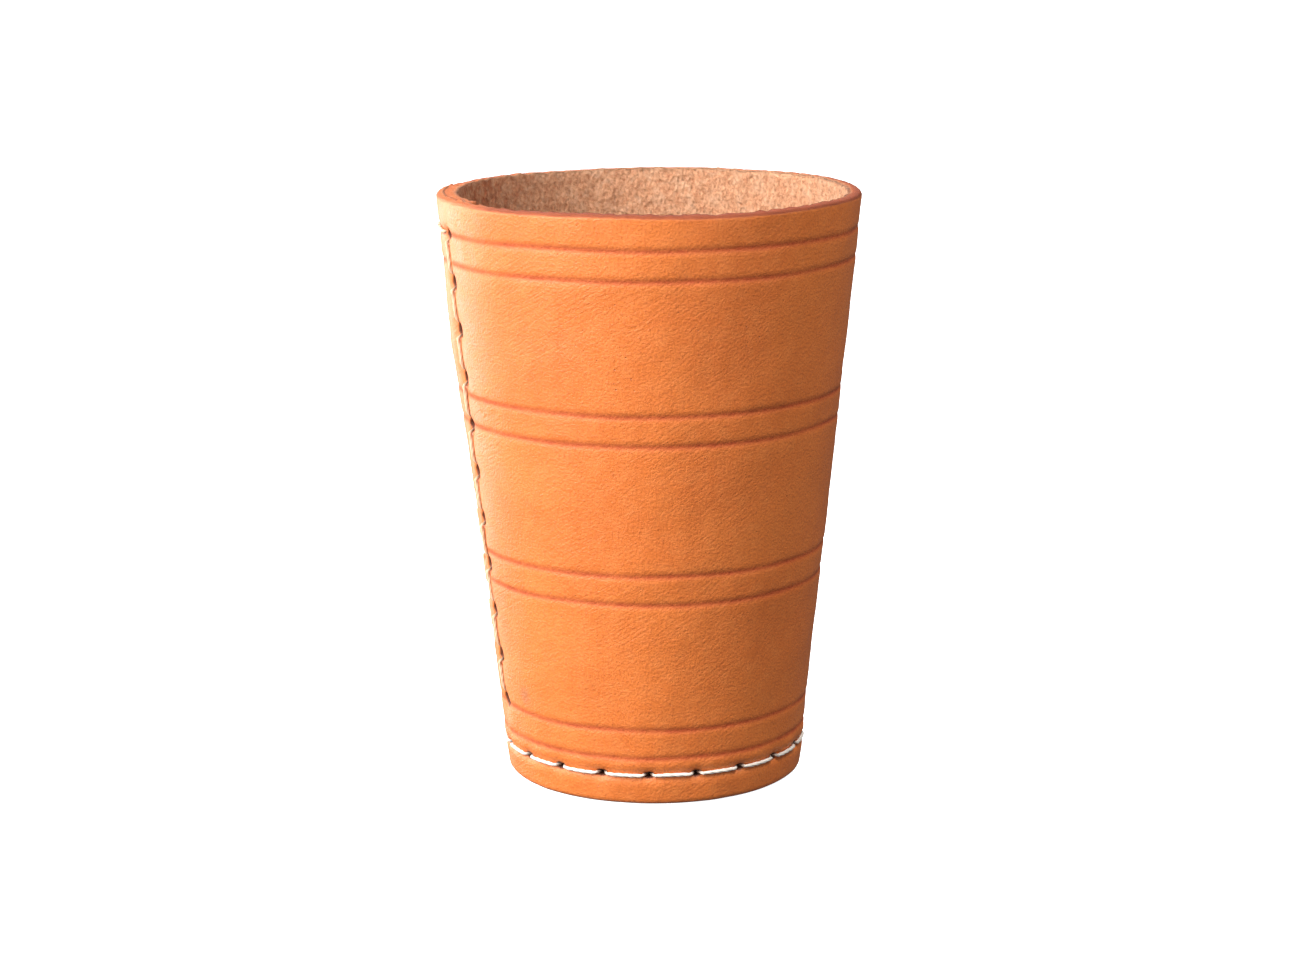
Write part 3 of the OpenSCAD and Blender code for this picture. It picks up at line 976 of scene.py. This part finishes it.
def grain_fields(m, sheet):
    """The patterns that the grain side's colour, gloss and relief share."""
    creased = m.ramp(m.noise(sheet, 0.06, 2.0), 0.42, 0.6)
    wrinkle_lines = m.lines(m.stretched(sheet, (0.09, 0.75, 1), -32), 0.09)
    pore_field = m.ramp(m.noise(sheet, 0.07, 2.0), 0.48, 0.68)
    pore_dots = m.ramp(m.cells(sheet, 0.75), 0.05, 0.14, 1.0, 0.0)
    return {
        "mottle": m.noise(sheet, 0.4, 5.0, 0.65),
        "pebble": m.noise(sheet, 2.2, 2.0, 0.5),
        "speckle": m.noise(sheet, 4.5, 3.0, 0.7),
        "wrinkles": m.math("MULTIPLY", wrinkle_lines, creased),
        "folds": m.lines(m.stretched(sheet, (0.2, 0.035, 1), -3), 0.02),
        "pores": m.math("MULTIPLY", pore_dots, pore_field),
    }


def grain_colour(m, sheet, grain, tones):
    """Broad tone, mottling, fine grain, wrinkles, pores and handling marks."""
    light, mid, warm, dark, brown, burnished_and_shaded = tones
    broad = m.ramp(m.noise(sheet, 0.045, 3.0), 0.32, 0.68)
    tone = m.blend(broad, light, mid)
    tone = m.blend(m.ramp(grain["mottle"], 0.4, 0.75, 0.0, 0.5), tone, warm)
    tone = m.blend(m.ramp(grain["pebble"], 0.42, 0.7, 0.0, 0.4), tone, dark)
    tone = m.blend(m.ramp(grain["speckle"], 0.42, 0.7, 0.0, 0.4), tone, dark)
    tone = m.blend(m.math("MULTIPLY", grain["wrinkles"], 0.14), tone, dark)
    tone = m.blend(m.math("MULTIPLY", grain["folds"], 0.06), tone, dark)
    tone = m.blend(m.math("MULTIPLY", grain["pores"], 0.55), tone, brown)
    marks = m.ramp(m.noise(sheet, 0.11, 5.0, 0.7, 0.4), 0.66, 0.78, 0.0, 0.3)
    tone = m.blend(marks, tone, brown)
    smudge = m.ramp(m.attribute("smudge"), 0.1, 0.9, 0.0, 0.6)
    tone = m.blend(smudge, tone, colour(128, 92, 66))

    # Pressed lines and seams are burnished redder and darker; the same tone also paints in the shade
    # of their grooves.
    uneven = m.ramp(m.noise(sheet, 0.9, 3.0), 0.3, 0.7, 0.7, 1.1)
    pressed = m.math("MULTIPLY", m.math("MULTIPLY", m.attribute("press"), uneven), 0.95)
    tone = m.blend(pressed, tone, burnished_and_shaded)
    return m.blend(m.math("MULTIPLY", m.attribute("seam"), 0.2), tone, burnished_and_shaded)


def suede_colour(m, sheet, fibres, tones):
    """Matted fibres, coarser towards the lap, where patches of a darker tone also paint in the shade
    on the inside.
    """
    light, dark, pale, shaded_shaggy_tone = tones
    clumps = m.noise(sheet, 0.4, 4.0, 0.65, 0.5)
    tone = m.blend(m.ramp(fibres, 0.33, 0.62), dark, light)
    tone = m.blend(m.ramp(clumps, 0.42, 0.7, 0.0, 0.5), tone, pale)
    shaggy = m.ramp(m.noise(sheet, 0.55, 4.0, 0.6, 0.6), 0.38, 0.58, 1.0, 0.25)
    # Painted shade, in patches, on the inside towards the lap.
    return m.blend(m.math("MULTIPLY", m.attribute("coarse_and_shaded"), shaggy), tone, shaded_shaggy_tone)


def cut_colour(m, sheet, tone, edge, hole, tones):
    """tone under the burnished rim, the foot's edge and the insides of the holes, whose dark tone is
    partly painted shade.
    """
    dark, light, hole_shade_tone = tones
    edge_tone = m.blend(m.ramp(m.noise(sheet, 1.6, 3.0), 0.35, 0.7), dark, light)
    tone = m.blend(m.math("MULTIPLY", edge, 0.97), tone, edge_tone)
    tone = m.blend(m.math("MULTIPLY", m.attribute("foot"), 0.45), tone, edge_tone)
    # Painted shade, partly the cut leather's own darker tone, in and round the holes.
    return m.blend(m.ramp(hole, 0.3, 0.68, 0.0, 0.93), tone, hole_shade_tone)


def leather_relief(m, sheet, grain, fibres, flesh):
    """The relief that is too fine for the mesh, depths in millimetres."""
    grain_normal = m.bump(grain["pebble"], 0.1)
    grain_normal = m.bump(grain["speckle"], 0.05, grain_normal)
    for sunken, depth in (("wrinkles", 0.016), ("folds", 0.008), ("pores", 0.05)):
        grain_normal = m.bump(m.math("SUBTRACT", 1.0, grain[sunken]), depth, grain_normal)
    lumps = m.noise(sheet, 0.7, 3.0, 0.55)
    crumbs = m.cells(m.stretched(sheet, (1.0, 0.7, 1), 20), 1.2)
    flesh_normal = m.bump(lumps, 2.8)
    flesh_normal = m.bump(fibres, 1.2, flesh_normal)
    flesh_normal = m.bump(crumbs, 0.3, flesh_normal)
    return m.blend(flesh, grain_normal, flesh_normal)


def leather_roughness(m, grain, flesh, matt, smoothest):
    """Waxed grain, rougher on the flesh side and wherever the leather is cut or pressed."""
    rough = m.ramp(grain["mottle"], 0.3, 0.75, smoothest, smoothest + 0.12)
    rough = m.math("ADD", rough, m.ramp(grain["speckle"], 0.3, 0.8, -0.04, 0.06))
    rough = m.math("ADD", rough, m.math("MULTIPLY", flesh, 0.4))
    return m.math("ADD", rough, m.math("MULTIPLY", matt, 0.3))


def leather_material(name, grain_tones, flesh_tones, edge_tones, smoothest):
    """Leather whose flesh side, pressed lines and cut edges differ."""
    m = Material(name)
    sheet = m.attribute("sheet", "Vector")
    hole, flesh = m.attribute("hole"), m.attribute("flesh")
    grain = grain_fields(m, sheet)
    fibres = m.noise(sheet, 1.3, 6.0, 0.75)
    ragged = m.ramp(m.noise(sheet, 0.35, 3.0, 0.5), 0.2, 0.8, -0.12, 0.12)
    edge = m.ramp(m.math("ADD", m.attribute("rim"), ragged), 0.2, 0.95)
    matt = m.math("MAXIMUM", m.math("MAXIMUM", edge, m.attribute("press")), hole)

    outside = grain_colour(m, sheet, grain, grain_tones)
    tone = m.blend(flesh, outside, suede_colour(m, sheet, fibres, flesh_tones))
    m.set(
        Base_Color=cut_colour(m, sheet, tone, edge, hole, edge_tones),
        Roughness=leather_roughness(m, grain, flesh, matt, smoothest),
        Normal=leather_relief(m, sheet, grain, fibres, flesh),
        Specular_IOR_Level=0.75,
    )
    return m.material


def thread_material(name, clean, worn):
    """Waxed thread: fine fibres along each ply, darker where it enters the leather, partly soiled and
    partly painted with the hole's shade, and with painted shade between its plies.
    """
    m = Material(name)
    sheet = m.attribute("sheet", "Vector")
    hole, ply_groove_shade = m.attribute("hole"), m.attribute("ply_groove_shade")
    fibres = m.noise(m.stretched(sheet, (0.6, 9.0, 9.0)), 1.0, 4.0, 0.6)
    soil = m.noise(sheet, 0.5, 3.0)
    tone = m.blend(m.ramp(fibres, 0.35, 0.7), clean, worn)
    tone = m.blend(m.ramp(soil, 0.5, 0.8, 0.0, 0.45), tone, colour(220, 190, 158))
    # Painted shade in the valleys between the plies.
    tone = m.blend(m.math("MULTIPLY", ply_groove_shade, 0.35), tone, colour(150, 122, 98))
    # Where the thread is squeezed into a hole: partly soiling, partly painted shade of the hole.
    tone = m.blend(m.math("MULTIPLY", hole, 0.92), tone, colour(106, 62, 34))
    m.set(
        Base_Color=tone,
        Roughness=m.ramp(fibres, 0.3, 0.8, 0.5, 0.72),
        Normal=m.bump(fibres, 0.06),
        Sheen_Weight=0.08,
        Sheen_Roughness=0.5,
    )
    return m.material


def floor_material():
    m = Material("floor_white")
    cloud = m.noise(m.node("ShaderNodeTexCoord", {}, "Object"), 2.0, 2.0)
    m.set(
        Base_Color=m.blend(cloud, colour(250, 250, 250), colour(246, 246, 247)),
        Roughness=0.9,
        Emission_Strength=0.95,
        Emission_Color=(1.0, 1.0, 1.0, 1.0),
    )
    return m.material


# ---- Pieces ----

# Each list is in the order that its material names.
grain_tones = [
    colour(228, 125, 51),
    colour(220, 116, 45),
    colour(234, 136, 62),
    colour(190, 90, 33),
    colour(108, 50, 22),
    # The last tone is the burnished one, which also serves as painted shade in the creases and seam
    # channels.
    colour(178, 70, 12),
]
suede_tones = [
    colour(240, 178, 134),
    colour(200, 128, 86),
    colour(248, 202, 164),
    # The last suede tone is painted shade on the inside towards the lap.
    colour(188, 106, 62),
]
# The third edge tone is the holes' dark tone, partly painted shade.
edge_tones = [colour(132, 50, 8), colour(156, 68, 18), colour(104, 48, 19)]
base_tones = [
    colour(214, 150, 104),
    colour(202, 134, 88),
    colour(222, 160, 116),
    colour(176, 108, 68),
    colour(124, 72, 46),
    colour(150, 84, 50),
]

leather = leather_material("veg_tanned_leather", grain_tones, suede_tones, edge_tones, 0.46)
base_leather = leather_material("base_leather", base_tones, suede_tones, edge_tones, 0.6)
foot_thread = thread_material("waxed_thread", colour(244, 240, 232), colour(220, 210, 196))
# The side seam's thread is darker cream: partly leather stain, partly painted shade of the channel it
# lies in.
side_thread = thread_material("stained_and_shaded_thread", colour(238, 208, 174), colour(214, 178, 140))


def make_seams():
    """The paths of the four threads, by the names of their CAD nodes."""
    front_row = [(FRONT_ROW_A, z) for z in SIDE_ROW_Z]
    rear_row = [(REAR_ROW_A, z) for z in SIDE_ROW_Z[::-1]]
    side_path = front_row + [CROSS_HOLE] + rear_row
    foot_turns = range(BASE_STITCHES + 1)
    base_path = [(BASE_FIRST_A + i * 360 / BASE_STITCHES, BASE_SEAM_Z) for i in foot_turns]
    flange = BASE_GAP + BASE_T
    return {
        "side_seam_outer_thread": Seam(
            side_path, way=1, under=0, leg=0.9, out=1.5, thread_r=THREAD_R, seed=61
        ),
        "side_seam_inner_thread": Seam(
            side_path, way=-1, under=0, leg=0.4, out=0.75, thread_r=THREAD_R, seed=62
        ),
        "base_seam_outer_thread": Seam(
            base_path, way=1, under=flange, leg=0.4, out=1.0, thread_r=FOOT_THREAD_R, seed=63
        ),
        "base_seam_inner_thread": Seam(
            base_path, way=-1, under=flange, leg=0.4, out=0.75, thread_r=THREAD_R, seed=64
        ),
    }


wall = make_wall()
base = make_base()
pieces = [(wall, "wall", leather, "wall_leather"), (base, "base", base_leather, "base_leather")]
for node_name, seam in make_seams().items():
    piece = make_thread("sewn_" + node_name, seam)
    material = side_thread if node_name.startswith("side") else foot_thread
    pieces.append((piece, node_name, material, "thread"))
for piece, node_name, material, slot in pieces:
    piece.data.materials.append(material)
    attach(piece, "root")
    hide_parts(node_name)


# ---- Floor, light and camera, in metres ----


def make_floor():
    """A pale floor that curves up all round, so that no edge of it shows."""
    sides = 64
    profile = [(2.6, 0.0), (3.5, 0.12), (4.2, 0.45), (4.6, 1.0), (4.7, 1.9)]
    # A hair under the cup's foot
    sunk = 0.00005
    turns = [2 * math.pi * i / sides for i in range(sides)]
    points = [(r * math.cos(turn), r * math.sin(turn), z - sunk) for r, z in profile for turn in turns]
    faces = [tuple(range(sides))]
    for ring in range(len(profile) - 1):
        for i in range(sides):
            low, after = ring * sides + i, ring * sides + (i + 1) % sides
            faces.append((low, after, after + sides, low + sides))
    mesh = bpy.data.meshes.new("floor")
    mesh.from_pydata(points, [], faces)
    mesh.materials.append(floor_material())
    floor = bpy.data.objects.new("floor", mesh)
    floor.visible_diffuse = False
    floor.visible_glossy = False
    bpy.context.scene.collection.objects.link(floor)


def direction(place, aim):
    """The rotation that turns a lamp's -Z from place towards aim."""
    dx, dy, dz = (a - p for a, p in zip(aim, place))
    return Euler((math.atan2(math.hypot(dx, dy), -dz), 0, math.atan2(-dx, dy)))


def softbox(name, place, size, power, tint):
    """A rectangular lamp that faces the middle of the cup."""
    light = bpy.data.lights.new(name, "AREA")
    light.shape = "RECTANGLE"
    light.size, light.size_y = size
    light.energy = power
    light.color = tint
    lamp = bpy.data.objects.new(name, light)
    lamp.location = place
    lamp.rotation_euler = direction(place, (0, 0, 0.05))
    bpy.context.scene.collection.objects.link(lamp)


def make_world():
    world = bpy.data.worlds.new("studio")
    world.use_nodes = True
    background = world.node_tree.nodes["Background"]
    background.inputs["Color"].default_value = (1.0, 1.0, 1.0, 1)
    background.inputs["Strength"].default_value = 0.14
    bpy.context.scene.world = world


def make_camera():
    """Half a metre in front of the cup, looking down on it and rolled a little."""
    look_down, roll = 12.54, -0.326
    data = bpy.data.cameras.new("camera")
    data.lens = 80.59
    data.sensor_width = 36
    data.clip_start, data.clip_end = 0.01, 50
    camera = bpy.data.objects.new("camera", data)
    camera.location = (-0.000318, -0.46446, 0.14957)
    tilted = Euler((math.radians(90 - look_down), 0, 0)).to_matrix()
    rolled = Euler((0, 0, math.radians(roll))).to_matrix()
    camera.rotation_euler = (tilted @ rolled).to_euler()
    bpy.context.scene.collection.objects.link(camera)
    bpy.context.scene.camera = camera


make_floor()
make_world()
make_camera()
softbox("key", (-0.73, -0.47, 0.57), (0.7, 0.9), 25.5, (1.0, 0.98, 0.96))
softbox("left_rear", (-0.66, 0.5, 0.2), (0.7, 0.9), 12, (1.0, 0.98, 0.97))
softbox("front_fill", (0.45, -1.0, 0.35), (0.9, 0.7), 1.6, (1.0, 0.98, 0.97))
softbox("high_front", (0.36, -0.38, 0.95), (0.4, 0.4), 8.6, (1.0, 0.98, 0.96))

bpy.context.scene.view_settings.view_transform = "Standard"
